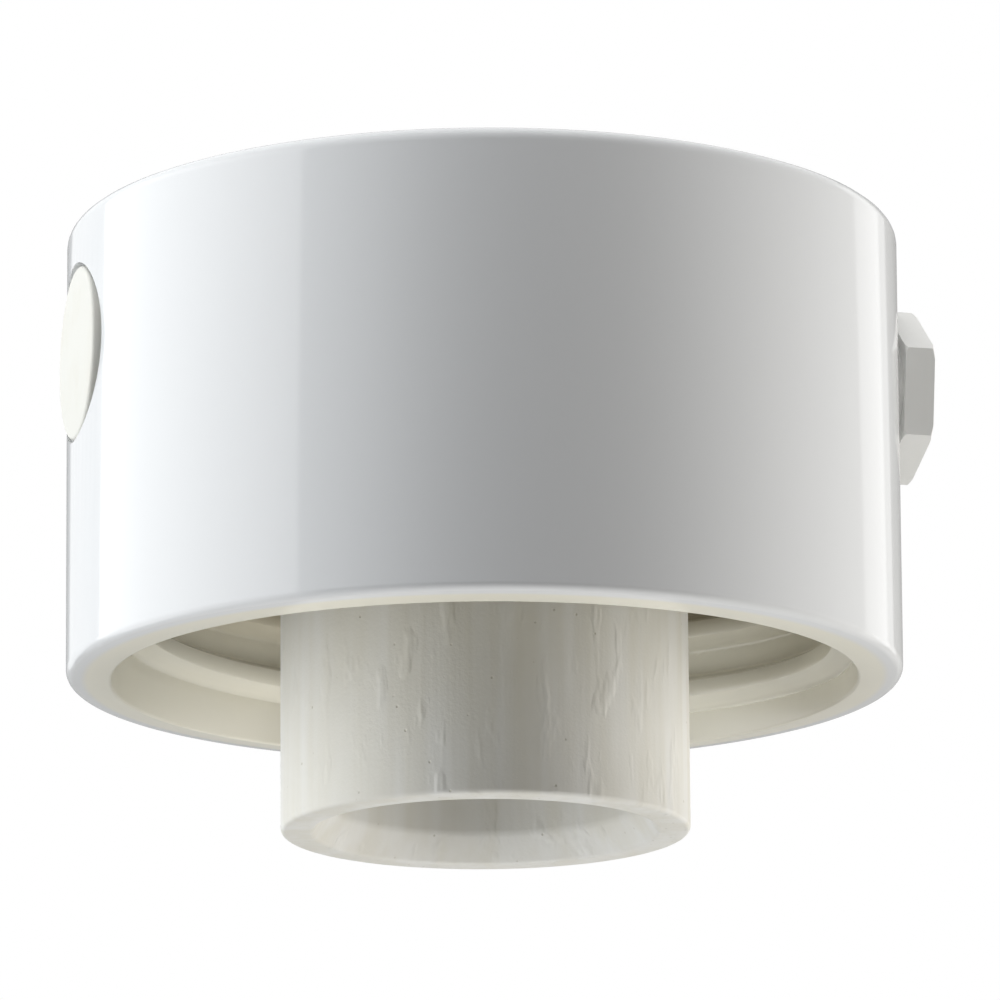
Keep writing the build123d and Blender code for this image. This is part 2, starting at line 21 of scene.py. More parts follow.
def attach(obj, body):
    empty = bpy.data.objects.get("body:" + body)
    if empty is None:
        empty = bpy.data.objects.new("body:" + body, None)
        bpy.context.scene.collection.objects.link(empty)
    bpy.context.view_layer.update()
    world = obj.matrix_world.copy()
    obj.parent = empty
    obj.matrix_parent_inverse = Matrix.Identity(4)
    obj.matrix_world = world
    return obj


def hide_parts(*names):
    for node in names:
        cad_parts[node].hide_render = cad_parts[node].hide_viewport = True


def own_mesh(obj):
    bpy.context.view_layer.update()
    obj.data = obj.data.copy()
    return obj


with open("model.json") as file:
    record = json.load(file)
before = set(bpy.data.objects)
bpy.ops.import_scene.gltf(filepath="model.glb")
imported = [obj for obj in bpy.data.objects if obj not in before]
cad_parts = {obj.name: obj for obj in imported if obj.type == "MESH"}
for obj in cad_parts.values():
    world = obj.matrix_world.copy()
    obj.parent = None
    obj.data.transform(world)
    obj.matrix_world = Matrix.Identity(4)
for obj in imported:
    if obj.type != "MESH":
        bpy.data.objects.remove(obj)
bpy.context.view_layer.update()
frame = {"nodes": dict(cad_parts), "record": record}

METRES = 0.001  # in a millimetre
LATHE_STEPS = 192
SMALL_STEPS = 96
DOUBLES = 1e-4
NEAR = 0.01
SMOOTH_ANGLE = math.radians(30)

log = logging.getLogger("batten_lamp_holder")

Point = tuple[float, float]
Profile = Sequence[tuple[float, ...]]
Colour = tuple[float, float, float]
Piece = bpy.types.Object


# Modelling by hand, in code


class Join(Enum):
    """How one piece is combined with another."""

    ADD = "UNION"
    CUT = "DIFFERENCE"
    COMMON = "INTERSECT"


@dataclass(frozen=True)
class Spindle:
    """The axis that a profile is spun about, and the side that it is drawn on."""

    centre: Vector
    along: Vector
    out: Vector

    def place(self, point: Sequence[float]) -> Vector:
        """Give the place of a point by its radius and its distance along the axis."""
        return self.centre + self.out * point[0] + self.along * point[1]

    def moved(self, x: float, y: float) -> "Spindle":
        """Give the same spindle, moved sideways."""
        return Spindle(self.centre + Vector((x, y, 0)), self.along, self.out)


UPRIGHT = Spindle(Vector((0, 0, 0)), Vector((0, 0, 1)), Vector((1, 0, 0)))
ENTRY_CENTRE = Vector((0, 0, -17.1))
GLAND_SIDE = Spindle(ENTRY_CENTRE, Vector((1, 0, 0)), Vector((0, 0, 1)))
PLUG_SIDE = Spindle(ENTRY_CENTRE, Vector((-1, 0, 0)), Vector((0, 0, 1)))
LUG_OFFSET = 29.5  # of the two holder screws from the axis
LUG_LEVEL = -35.0
LUG_RADIUS = 5.5
SCREW_HOLE = 2.3
CEILING_SCREW = 33.0 / math.sqrt(2)  # how far along X and Y a ceiling screw stands


def clear_selection() -> None:
    """Leave edit mode and deselect every object."""
    if bpy.context.object is not None and bpy.context.object.mode == "EDIT":
        bpy.ops.object.mode_set(mode="OBJECT")
    bpy.ops.object.select_all(action="DESELECT")


def take(*pieces: Piece) -> Piece:
    """Select only these pieces, with the first one active.

    Args:
        pieces: the objects to select.

    Returns:
        The active one.
    """
    clear_selection()
    for piece in pieces:
        piece.select_set(True)
    bpy.context.view_layer.objects.active = pieces[0]
    return pieces[0]


def pick(place: Vector) -> None:
    """Select only the vertex that lies at a place, in the piece in edit mode.

    Args:
        place: where it lies, in millimetres.
    """
    bpy.ops.mesh.select_mode(type="VERT")
    bpy.ops.mesh.select_all(action="DESELECT")
    form = bmesh.from_edit_mesh(bpy.context.object.data)
    for vertex in form.verts:
        vertex.select_set((vertex.co - place).length < NEAR)
    form.select_flush_mode()
    bmesh.update_edit_mesh(bpy.context.object.data)


def close_surface() -> None:
    """Merge the doubles of the piece in edit mode, turn its faces outwards and leave edit mode."""
    bpy.ops.mesh.select_all(action="SELECT")
    bpy.ops.mesh.remove_doubles(threshold=DOUBLES)
    bpy.ops.mesh.normals_make_consistent(inside=False)
    bpy.ops.object.mode_set(mode="OBJECT")


def draw(name: str, places: Sequence[Vector]) -> Piece:
    """Draw a line of edges from one place to the next, and stay in edit mode.

    Args:
        name: the new piece's name.
        places: the line's points, in millimetres.

    Returns:
        The new piece.
    """
    clear_selection()
    bpy.ops.mesh.primitive_plane_add(size=1)
    piece = bpy.context.object
    piece.name = name
    bpy.ops.object.mode_set(mode="EDIT")
    bpy.ops.mesh.select_all(action="SELECT")
    bpy.ops.mesh.merge(type="CENTER")
    bpy.ops.transform.translate(value=places[0])
    for start, end in zip(places, places[1:]):
        bpy.ops.mesh.extrude_region_move(TRANSFORM_OT_translate={"value": end - start})
    bpy.ops.mesh.select_all(action="SELECT")
    bpy.ops.mesh.remove_doubles(threshold=DOUBLES)
    return piece


def draw_section(name: str, places: Sequence[Vector]) -> Piece:
    """Draw a closed outline and fill it, and stay in edit mode with the face selected."""
    piece = draw(name, [*places, places[0]])
    bpy.ops.mesh.select_all(action="SELECT")
    bpy.ops.mesh.edge_face_add()
    return piece


def turn_section(turn: float, lift: float) -> None:
    """Turn the selection about the Z axis by an angle in radians, and lift it."""
    bpy.ops.transform.rotate(value=-turn, orient_axis="Z", center_override=(0, 0, 0))
    bpy.ops.transform.translate(value=(0, 0, lift))


def sweep_section(turn: float, lift: float) -> None:
    """Extrude the selected section one step along a helix about the Z axis."""
    bpy.ops.mesh.extrude_region_move(TRANSFORM_OT_translate={"value": (0, 0, 0)})
    turn_section(turn, lift)


def lathe(
    name: str,
    profile: Profile,
    spindle: Spindle = UPRIGHT,
    steps: int = LATHE_STEPS,
    segments: int = 6,
) -> Piece:
    """Spin a profile into a closed piece.

    Args:
        name: the new piece's name.
        profile: points by radius and distance, and by the size of their rounding where they have one;
            it ends where it starts, or starts and ends on the axis.
        spindle: the axis.
        steps: how many steps go round.
        segments: how many edges each rounding gets.

    Returns:
        The new piece, in object mode.
    """
    piece = draw(name, [spindle.place(point) for point in profile])
    for point in profile:
        if any(point[2:]):
            pick(spindle.place(point))
            bpy.ops.mesh.bevel(offset=point[2], segments=segments, affect="VERTICES")
    bpy.ops.mesh.select_all(action="SELECT")
    bpy.ops.mesh.spin(steps=steps, angle=2 * math.pi, center=spindle.centre, axis=spindle.along)
    close_surface()
    return piece


def rod(name: str, radius: float, low: float, high: float, y: float, sides: int = 64) -> Piece:
    """Add an upright rod between two levels, to be joined to a piece or cut out of it."""
    clear_selection()
    middle = (0, y, (low + high) / 2)
    bpy.ops.mesh.primitive_cylinder_add(vertices=sides, radius=radius, depth=high - low, location=middle)
    return settle_place(name)


def block(name: str, low: Sequence[float], high: Sequence[float]) -> Piece:
    """Add a box between two corners, to be joined to a piece or cut out of it."""
    clear_selection()
    middle = [(top + bottom) / 2 for bottom, top in zip(low, high)]
    bpy.ops.mesh.primitive_cube_add(size=1, location=middle)
    bpy.context.object.scale = [top - bottom for bottom, top in zip(low, high)]
    return settle_place(name)


def settle_place(name: str) -> Piece:
    """Name the new primitive and put its place and size into its mesh."""
    piece = bpy.context.object
    piece.name = name
    bpy.ops.object.transform_apply(location=True, rotation=True, scale=True)
    return piece


def combine(piece: Piece, other: Piece, how: Join) -> None:
    """Join another piece to this one or cut it out by an exact boolean, and delete the other.

    Args:
        piece: the piece that changes.
        other: the piece that is used up.
        how: what happens.
    """
    take(piece)
    modifier = piece.modifiers.new(how.name, "BOOLEAN")
    modifier.operation = how.value
    modifier.solver = "EXACT"
    modifier.object = other
    bpy.ops.object.modifier_apply(modifier=modifier.name)
    bpy.data.objects.remove(other)


def gather(pieces: Sequence[Piece]) -> Piece:
    """Make one object of several that don't touch."""
    first = take(*pieces)
    bpy.ops.object.join()
    return first


def turn_mesh(piece: Piece, turn: float, axis: str, centre: Sequence[float] = (0, 0, 0)) -> None:
    """Turn a piece's mesh by an angle in degrees about an axis through a point."""
    there = Matrix.Translation(centre)
    piece.data.transform(there @ Matrix.Rotation(math.radians(turn), 4, axis) @ there.inverted())


def doubled(piece: Piece) -> Piece:
    """Make one object of a piece and its copy on the other side of the Z axis."""
    other = piece.copy()
    other.data = piece.data.copy()
    bpy.context.scene.collection.objects.link(other)
    turn_mesh(other, 180, "Z")
    return gather([piece, other])


def wave_thread(
    piece: Piece, spindle: Spindle, span: Point, pitch: float, depth: float, fade: float
) -> None:
    """Press a rounded helical thread into a spun piece.

    Args:
        piece: the piece, whose profile has enough points along the thread.
        spindle: the thread's axis.
        span: the distances along the axis between which the thread runs.
        pitch: its pitch.
        depth: from its roots to its crests; the crests keep the piece's own radius.
        fade: over what length it dies out at both ends.
    """
    side = spindle.along.cross(spindle.out)
    start, end = span
    for vertex in piece.data.vertices:
        offset = vertex.co - spindle.centre
        distance = offset.dot(spindle.along)
        strength = min((distance - start) / fade, (end - distance) / fade, 1)
        if strength <= 0:
            continue
        across = offset - spindle.along * distance
        turn = math.atan2(across.dot(side), across.dot(spindle.out))
        wave = (math.cos(2 * math.pi * distance / pitch - turn) - 1) / 2
        vertex.co += across.normalized() * (wave * depth * strength)


def ramp(radius: float, start: float, end: float, count: int) -> list[Point]:
    """Give evenly spaced profile points along a straight run at one radius."""
    return [(radius, start + (end - start) * step / count) for step in range(count + 1)]


def ring_section(inner: float, outer: float, low: float, high: float, rounds: Sequence[float]) -> Profile:
    """Give a flat ring's closed profile, each corner with its rounding, the inner low one first."""
    corners = [(inner, low), (outer, low), (outer, high), (inner, high)]
    return [*((*corner, size) for corner, size in zip(corners, rounds)), corners[0]]


def deliver(
    piece: Piece, finishes: "Finishes", slot: str, node: str, body: str = "base"
) -> Piece:
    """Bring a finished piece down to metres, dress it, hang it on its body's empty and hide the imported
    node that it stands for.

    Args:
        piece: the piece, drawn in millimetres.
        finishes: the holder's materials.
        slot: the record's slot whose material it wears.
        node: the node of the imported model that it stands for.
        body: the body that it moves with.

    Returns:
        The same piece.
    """
    take(piece)
    piece.scale = (METRES, METRES, METRES)
    bpy.ops.object.transform_apply(location=True, rotation=True, scale=True)
    bpy.ops.object.shade_smooth_by_angle(angle=SMOOTH_ANGLE)
    piece.data.materials.clear()
    piece.data.materials.append(finishes[slot])
    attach(piece, body)
    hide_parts(node)
    log.info("%s: %d faces, rides on %s", piece.name, len(piece.data.polygons), body)
    return piece


# Materials


class Value:
    """A socket that can be used in an expression with numbers and with other values."""

    def __init__(self, surface: "Surface", socket: bpy.types.NodeSocket) -> None:
        """Keep the socket and the surface that it belongs to."""
        self.surface = surface
        self.socket = socket

    def __add__(self, other: "Value | float") -> "Value":
        """Add."""
        return self.surface.math("ADD", self, other)

    def __sub__(self, other: "Value | float") -> "Value":
        """Subtract."""
        return self.surface.math("SUBTRACT", self, other)

    def __rsub__(self, other: "Value | float") -> "Value":
        """Subtract from a number."""
        return self.surface.math("SUBTRACT", other, self)

    def __mul__(self, other: "Value | float") -> "Value":
        """Multiply."""
        return self.surface.math("MULTIPLY", self, other)

    __radd__ = __add__
    __rmul__ = __mul__


Input = Value | float | Sequence[float]


class Surface:
    """One material with its shader, and the nodes that feed it."""

    def __init__(self, name: str) -> None:
        """Start a material with an empty Principled shader."""
        self.material = bpy.data.materials.new(name)
        self.material.use_nodes = True
        self.tree = self.material.node_tree
        self.shader = self.tree.nodes["Principled BSDF"]

    def add(
        self,
        kind: str,
        settings: dict[str, Any] | None = None,
        inputs: dict[str | int, Input] | None = None,
        output: str | int = 0,
    ) -> Value:
        """Add a node.

        Args:
            kind: the node's type, without its ShaderNode prefix.
            settings: the node's own settings, which are set first.
            inputs: what goes into its sockets, by name or number.
            output: which of its outputs is wanted.

        Returns:
            That output.
        """
        node = self.tree.nodes.new("ShaderNode" + kind)
        for setting, value in (settings or {}).items():
            setattr(node, setting, value)
        for socket, value in (inputs or {}).items():
            self.feed(node.inputs[socket], value)
        return Value(self, node.outputs[output])

    def feed(self, socket: bpy.types.NodeSocket, value: Input) -> None:
        """Link a value to a socket, or set the socket to a number, vector or colour."""
        if isinstance(value, Value):
            self.tree.links.new(value.socket, socket)
        elif isinstance(value, (int, float)):
            socket.default_value = value
        else:
            wanted = len(socket.default_value)
            socket.default_value = (*value, 1)[:wanted]

    def math(self, operation: str, *values: Input) -> Value:
        """Add a Math node that gives a number between anything."""
        return self.add("Math", {"operation": operation}, dict(enumerate(values)))

    def position(self, stretch: Sequence[float] = (1, 1, 1)) -> Value:
        """Give the object coordinates in millimetres, each axis multiplied by its stretch."""
        place = self.add("TexCoord", output="Object")
        factors = [each / METRES for each in stretch]
        return self.add("VectorMath", {"operation": "MULTIPLY"}, {0: place, 1: factors})

    def noise(self, size: float, detail: float = 2, stretch: Sequence[float] = (1, 1, 1)) -> Value:
        """Give a soft noise from 0 to 1 whose blotches are about size millimetres wide."""
        inputs = {"Vector": self.position(stretch), "Scale": 1 / size, "Detail": detail}
        return self.add("TexNoise", inputs=inputs)

    def specks(self, size: float, share: float) -> Value:
        """Give small round spots: 1 at their middles, 0 outside, one to each cell of that size."""
        inputs = {"Vector": self.position(), "Scale": 1 / size}
        distance = self.add("TexVoronoi", inputs=inputs, output="Distance")
        return self.between(distance, share, 0)

    def between(self, value: Value, low: float, high: float) -> Value:
        """Give 0 where a value is at or beyond low and 1 where it is at or beyond high, smoothly."""
        inputs = {"Value": value, "From Min": low, "From Max": high}
        return self.add("MapRange", {"interpolation_type": "SMOOTHSTEP"}, inputs)

    def mixed(self, share: Input, first: Input, second: Input) -> Value:
        """Mix two colours."""
        inputs = {"Factor": share, 6: first, 7: second}
        return self.add("Mix", {"data_type": "RGBA"}, inputs, output=2)

    def level(self) -> Value:
        """Give the height along the Z axis in millimetres."""
        return self.add("SeparateXYZ", inputs={0: self.position()}, output="Z")

    def reach(self) -> Value:
        """Give the distance from the Z axis in millimetres."""
        flat = self.position((1, 1, 0))
        return self.add("VectorMath", {"operation": "LENGTH"}, {0: flat}, output="Value")

    def raised(self, height: Value, depth: float, below: Value | None = None) -> Value:
        """Give the normal of a surface whose height runs from 0 to 1 over a depth in millimetres."""
        inputs: dict[str | int, Input] = {"Height": height, "Distance": depth * METRES, "Strength": 1.0}
        if below is not None:
            inputs["Normal"] = below
        return self.add("Bump", inputs=inputs)

    def dress(self, **inputs: Input) -> bpy.types.Material:
        """Set the shader's sockets, with their spaces written as underscores.

        Returns:
            The finished material.
        """
        for name, value in inputs.items():
            self.feed(self.shader.inputs[name.replace("_", " ")], value)
        return self.material


@dataclass(frozen=True)
class Glaze:
    """Glossy white glaze on porcelain, a little uneven, creamier where it is fired inside, and darkened to
    a tan deep inside the mouth as painted shade.
    """

    white: Colour = (0.79, 0.80, 0.81)
    cream: Colour = (0.82, 0.795, 0.69)
    # painted shade: the dark tan that stands in for the shadow deep inside the mouth
    painted_shade: Colour = (0.50, 0.45, 0.33)
    inside_radius: float = 48.3
    wave_size: float = 30.0
    wave_depth: float = 0.03

    def build(self) -> bpy.types.Material:
        """Make the material."""
        surface = Surface("glazed_porcelain")
        inside = surface.between(surface.reach(), self.inside_radius + 0.6, self.inside_radius - 0.6)
        hidden = surface.between(surface.level(), -8.2, -6.8)
        inside = inside * (1 - hidden)
        blotches = surface.noise(14, 3)
        shade = surface.mixed(inside * (0.82 + blotches * 0.3), self.white, self.cream)
        # Painted shade: deep inside the mouth, above -45 mm, the glaze is mixed towards a dark tan that
        # stands in for shadow.
        depth = surface.between(surface.level(), -45.0, -38.5)
        shade = surface.mixed(inside * depth * 0.9, shade, self.painted_shade)
        waves = surface.raised(surface.noise(self.wave_size, 1), self.wave_depth)
        peel = surface.raised(surface.noise(2.2, 1), 0.001, waves)
        dimples = surface.raised(1 - surface.specks(5.5, 0.05), 0.012, peel)
        gloss = 0.06 + surface.noise(8, 2) * 0.05 + inside * 0.12
        return surface.dress(Base_Color=shade, Roughness=gloss, Normal=dimples, IOR=1.5)


@dataclass(frozen=True)
class Bisque:
    """Unglazed fired porcelain: matte, with grains, pits and faint drawn streaks."""

    name: str = "bisque_porcelain"
    pale: Colour = (0.83, 0.83, 0.815)
    shade: Colour = (0.69, 0.665, 0.58)
    pit: Colour = (0.46, 0.42, 0.34)
    grain: float = 0.35
    pits: float = 0.09
    roughness: float = 0.5
    shine: float = 0.25

    def build(self) -> bpy.types.Material:
        """Make the material."""
        surface = Surface(self.name)
        streaks = surface.noise(1.5, 2, (1, 1, 0.05))
        bands = surface.between(surface.noise(4.5, 2, (1, 1, 0.08)), 0.35, 0.65)
        clouds = surface.noise(9, 3)
        colour = surface.mixed(streaks * 0.3 + bands * 0.35 + clouds * 0.25, self.pale, self.shade)
        pits = surface.specks(2.6, self.pits)
        colour = surface.mixed(pits * 0.7, colour, self.pit)
        grain = surface.raised(surface.noise(self.grain, 3), 0.02)
        drawn = surface.raised(streaks, 0.05, grain)
        runs = surface.between(surface.noise(2.4, 2, (1, 1, 0.35)), 0.55, 0.75)
        drips = surface.raised(runs, 0.09, drawn)
        pitted = surface.raised(1 - pits, 0.06, drips)
        rough = self.roughness + surface.noise(1.1, 2) * 0.16
        return surface.dress(
            Base_Color=colour, Roughness=rough, Normal=pitted, IOR=1.5, Specular_IOR_Level=self.shine
        )


@dataclass(frozen=True)
class Moulded:
    """Moulded plastic or rubber with a fine texture."""

    name: str
    colour: Colour
    worn: Colour
    roughness: float = 0.4
    texture: float = 0.006
    shine: float = 0.5

    def build(self) -> bpy.types.Material:
        """Make the material."""
        surface = Surface(self.name)
        clouds = surface.noise(6, 3)
        colour = surface.mixed(surface.between(clouds, 0.45, 0.75) * 0.5, self.colour, self.worn)
        grain = surface.raised(surface.noise(0.22, 2), self.texture)
        flow = surface.raised(surface.noise(5, 1), 0.02, grain)
        rough = self.roughness + surface.noise(1.4, 2) * 0.12
        return surface.dress(
            Base_Color=colour, Roughness=rough, Normal=flow, IOR=1.46, Specular_IOR_Level=self.shine
        )


@dataclass(frozen=True)
class Metal:
    """Bare or plated metal with fine drawn scratches and a little tarnish."""

    name: str
    bright: Colour
    tarnish: Colour
    roughness: float = 0.28

    def build(self) -> bpy.types.Material:
        """Make the material."""
        surface = Surface(self.name)
        stains = surface.between(surface.noise(2.4, 4), 0.42, 0.72)
        colour = surface.mixed(stains * 0.7, self.bright, self.tarnish)
        scratches = surface.noise(0.3, 2, (1, 1, 0.12))
        scored = surface.raised(scratches, 0.004)
        rough = self.roughness + stains * 0.14 + scratches * 0.08
        return surface.dress(Base_Color=colour, Roughness=rough, Metallic=1.0, Normal=scored)


class Finishes:
    """Every material of the holder, made once, by the record's slot."""

    def __init__(self) -> None:
        """Make them all."""
        plain = [
            Moulded("silicone", (0.62, 0.60, 0.54), (0.52, 0.49, 0.42), 0.45),
            Moulded("black_rubber", (0.022, 0.022, 0.023), (0.05, 0.05, 0.05), 0.6, 0.012),
            Moulded("cream_plastic", (0.76, 0.755, 0.71), (0.72, 0.705, 0.64), 0.5, shine=0.25),
            Moulded("grey_plastic", (0.78, 0.78, 0.76), (0.72, 0.72, 0.70), 0.36),
            Bisque(),
            Bisque(
                "steatite", (0.72, 0.69, 0.60), (0.64, 0.60, 0.50), grain=0.2, pits=0.05, roughness=0.42
            ),
            Metal("nickelled_brass", (0.70, 0.68, 0.62), (0.52, 0.48, 0.39), 0.24),
            Metal("brass", (0.76, 0.58, 0.30), (0.50, 0.36, 0.18), 0.3),
            Metal("spring_steel", (0.46, 0.46, 0.47), (0.28, 0.27, 0.27), 0.34),
            Metal("zinc_steel", (0.66, 0.67, 0.68), (0.50, 0.50, 0.50), 0.3),
        ]
        self.by_slot = {"glazed_porcelain": Glaze().build(), **{each.name: each.build() for each in plain}}

    def __getitem__(self, slot: str) -> bpy.types.Material:
        """Give the material of a slot."""
        return self.by_slot[slot]

    def dress_frame(self) -> None:
        """Put its slot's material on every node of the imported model."""
        for part in frame["record"]["subparts"]:
            node = frame["nodes"][part["node"]]
            node.data.materials.clear()
            node.data.materials.append(self[part["material_slot"]])


# The holder's sub-assemblies, in millimetres


@dataclass
class PorcelainHousing:
    """The glazed casting: drum, glass thread, cable entries, posts and ceiling pads."""

    finishes: Finishes
    rim_radius: float = 50.4
    ceiling_radius: float = 50.58
    height: float = 55.0
    rim_fall: float = 0.4
    plate: float = 7.0
    recess: float = 0.8
    recess_radius: float = 39.8
    mouth_radius: float = 45.0
    wall_radius: float = 44.3
    flare_height: float = 4.5
    chamber_radius: float = 40.2
    ledge: float = -34.7
    thread_pitch: float = 7.5
    thread_turns: float = 1.7
    thread_height: float = 2.7
    thread_crest: float = 1.5
    thread_flank: float = 1.7
    thread_start: float = 3.7
    thread_start_angle: float = -60.0
    thread_fade: float = 0.16
    thread_end_share: float = 0.12
    thread_steps: int = 128
    entry_face: float = 48.9
    entry_face_radius: float = 10.9
    entry_bore: float = 8.5
    entry_shoulder: float = 37.1
    entry_inner: float = 35.6
    boss_radius: float = 12.0
    boss_outer: float = 42.2
    inside_plate: float = -6.0
    post_end: float = -26.0
    nut_level: float = -19.0
    nut_flats: float = 7.4
    pad_radius: float = 8.0
    pad_end: float = -9.0

    def shell(self) -> Piece:
        """Spin the drum with its ceiling plate."""
        rim = -self.height
        flare = rim + self.flare_height
        profile = [
            (0, -self.recess),
            (self.recess_radius, -self.recess, 0.3),
            (self.recess_radius, 0, 0.4),
            (self.ceiling_radius, 0, 1.8),
            (self.rim_radius, rim, 0.95),
            (self.mouth_radius, rim - self.rim_fall, 0.35),
            (self.wall_radius, flare, 0.6),
            *ramp(self.wall_radius, flare, self.ledge, 22)[1:-1],
            (self.wall_radius, self.ledge, 0.3),
            (self.chamber_radius, self.ledge, 0.5),
            (self.chamber_radius, -self.plate, 3.0),
            (0, -self.plate),
        ]
        return lathe("porcelain_housing_glazed", profile)

    def thread_section(self) -> list[Point]:
        """Give the rib's soft section as (height over the wall, distance along the axis) points."""
        half_crest = self.thread_crest / 2
        half_root = half_crest + self.thread_flank
        shape = [(-1.2, half_root), (0.0, half_root)]
        for step in range(1, 7):
            share = step / 7
            rise = (1 - math.cos(math.pi * share)) / 2
            shape.append((self.thread_height * rise, half_root - self.thread_flank * share))
        shape.append((self.thread_height, half_crest * 0.8))
        return shape + [(height, -along) for height, along in reversed(shape)]

    def thread_rib(self) -> Piece:
        """Sweep the rib's section up a helix inside the mouth, with its two ends drawn down."""
        section = [Vector((self.wall_radius - height, 0, z)) for height, z in self.thread_section()]
        rib = draw_section("glass_thread_rib", section)
        start = math.radians(self.thread_start_angle)
        low = self.thread_start - self.height
        turn_section(start, low)
        share = self.thread_end_share
        self.size_section(share, self.wall_point(start, low))
        for step in range(1, round(self.thread_turns * self.thread_steps) + 1):
            sweep_section(2 * math.pi / self.thread_steps, self.thread_pitch / self.thread_steps)
            turns = step / self.thread_steps
            wall = self.wall_point(start + 2 * math.pi * turns, low + self.thread_pitch * turns)
            wanted = self.rise(turns)
            self.size_section(wanted / share, wall)
            share = wanted
        close_surface()
        return rib

    def rise(self, turns: float) -> float:
        """Give the rib's height, as a share of its full height, so many turns from its start."""
        from_end = min(turns, self.thread_turns - turns)
        share = min(max(from_end / self.thread_fade, 0), 1)
        return self.thread_end_share + (1 - self.thread_end_share) * math.sin(share * math.pi / 2)

    def wall_point(self, turn: float, level: float) -> Vector:
        """Give the place on the wall at an angle and a level."""
        return Vector((self.wall_radius * math.cos(turn), self.wall_radius * math.sin(turn), level))

    def size_section(self, factor: float, centre: Vector) -> None:
        """Size the selection about a point of the wall."""
        if abs(factor - 1) > 1e-6:
            bpy.ops.transform.resize(value=(factor, factor, factor), center_override=centre)

    def entry_boss(self, spindle: Spindle) -> Piece:
        """Make the thick ring inside the wall round a cable entry."""
        profile = [
            (0, self.entry_inner),
            (self.boss_radius, self.entry_inner, 0.8),
            (self.boss_radius, self.boss_outer),
            (0, self.boss_outer),
        ]
        return lathe("entry_boss", profile, spindle, SMALL_STEPS)

    def entry_cut(self, spindle: Spindle) -> Piece:
        """Make the cutter of a cable entry's spot-face, bore and way."""
        profile = [
            (0, self.entry_inner - 1),
            (5.5, self.entry_inner - 1),
            (5.5, self.entry_shoulder),
            (self.entry_bore, self.entry_shoulder),
            (self.entry_bore, self.entry_face - 0.4),
            (self.entry_bore + 0.4, self.entry_face),
            (self.entry_face_radius, self.entry_face, 0.25),
            (self.entry_face_radius, 52.4),
            (0, 52.4),
        ]
        return lathe("entry_cut", profile, spindle, SMALL_STEPS)

    def ceiling_cut(self, spindle: Spindle) -> Piece:
        """Make the cutter of a ceiling screw's hole and its washer's counterbore."""
        profile = [(0, -10), (5.85, -10), (5.85, -7.5), (2.75, -7.5), (2.75, -1.2), (3.6, 1), (0, 1)]
        return lathe("ceiling_cut", profile, spindle, 64)

    def stud(
        self, name: str, radius: float, end: float, rounding: float, place: Spindle
    ) -> Piece:
        """Spin a post or pad that hangs from the inside of the plate."""
        profile = [(0, end), (radius, end, rounding), (radius, self.inside_plate), (0, self.inside_plate)]
        return lathe(name, profile, place, 64)

    def build(self) -> Piece:
        """Make the whole casting and hand it over."""
        casting = self.shell()
        added = [self.thread_rib(), self.entry_boss(GLAND_SIDE), self.entry_boss(PLUG_SIDE)]
        cuts = [self.entry_cut(GLAND_SIDE), self.entry_cut(PLUG_SIDE)]
        ways = []
        for side in (1, -1):
            place = UPRIGHT.moved(side * CEILING_SCREW, side * CEILING_SCREW)
            added.append(self.stud("ceiling_pad", self.pad_radius, self.pad_end, 0.7, place))
            cuts.append(self.ceiling_cut(place))
        for side in (1, -1):
            y = side * LUG_OFFSET
            added.append(self.stud("holder_post", LUG_RADIUS, self.post_end, 0.5, UPRIGHT.moved(0, y)))
            pocket = rod("nut_pocket", self.nut_flats / math.sqrt(3), self.nut_level, 1, y, sides=6)
            turn_mesh(pocket, 30, "Z", (0, y, 0))
            cuts.append(pocket)
            ways.append(rod("screw_way", SCREW_HOLE, self.post_end - 1, self.nut_level + 0.5, y))
        combine(casting, gather(added), Join.ADD)
        combine(casting, gather(cuts), Join.CUT)
        combine(casting, gather(ways), Join.CUT)
        return deliver(casting, self.finishes, "glazed_porcelain", "porcelain_housing")


@dataclass
class HolderSleeve:
    """The unglazed tube round the socket, with its two screw lugs."""

    finishes: Finishes
    radius: float = 24.6
    rim: float = -73.7
    top: float = -30.0
    rim_inner: float = 20.8
    neck_radius: float = 18.7
    cone_height: float = 3.4
    neck: float = -62.5
    room_radius: float = 14.9
    carrier_radius: float = 19.5
    carrier_level: float = -38.0
    lug_root: float = 22.0

    def build(self) -> Piece:
        """Spin the tube, add the lugs and bore them."""
        profile = [
            (self.rim_inner, self.rim, 0.35),
            (self.radius, self.rim, 0.6),
            (self.radius, self.top, 0.4),
            (self.carrier_radius, self.top),
            (self.carrier_radius, self.carrier_level),
            (self.room_radius, self.carrier_level),
            (self.room_radius, self.neck, 0.5),
            (self.neck_radius, self.neck, 0.9),
            (self.neck_radius, self.rim + self.cone_height, 0.5),
            (self.rim_inner, self.rim),
        ]
        tube = lathe("holder_sleeve_bisque", profile, segments=5)
        lugs = []
        holes = []
        for side in (1, -1):
            y = side * LUG_OFFSET
            ear = rod("lug_end", LUG_RADIUS, LUG_LEVEL, self.top, y)
            inner, outer = sorted((side * self.lug_root, y))
            arm = block("lug_neck", (-LUG_RADIUS, inner, LUG_LEVEL), (LUG_RADIUS, outer, self.top))
            combine(ear, arm, Join.ADD)
            lugs.append(ear)
            holes.append(rod("lug_hole", SCREW_HOLE, LUG_LEVEL - 1, self.top + 1, y))
        combine(tube, gather(lugs), Join.ADD)
        combine(tube, gather(holes), Join.CUT)
        return deliver(tube, self.finishes, "bisque_porcelain", "holder_sleeve")


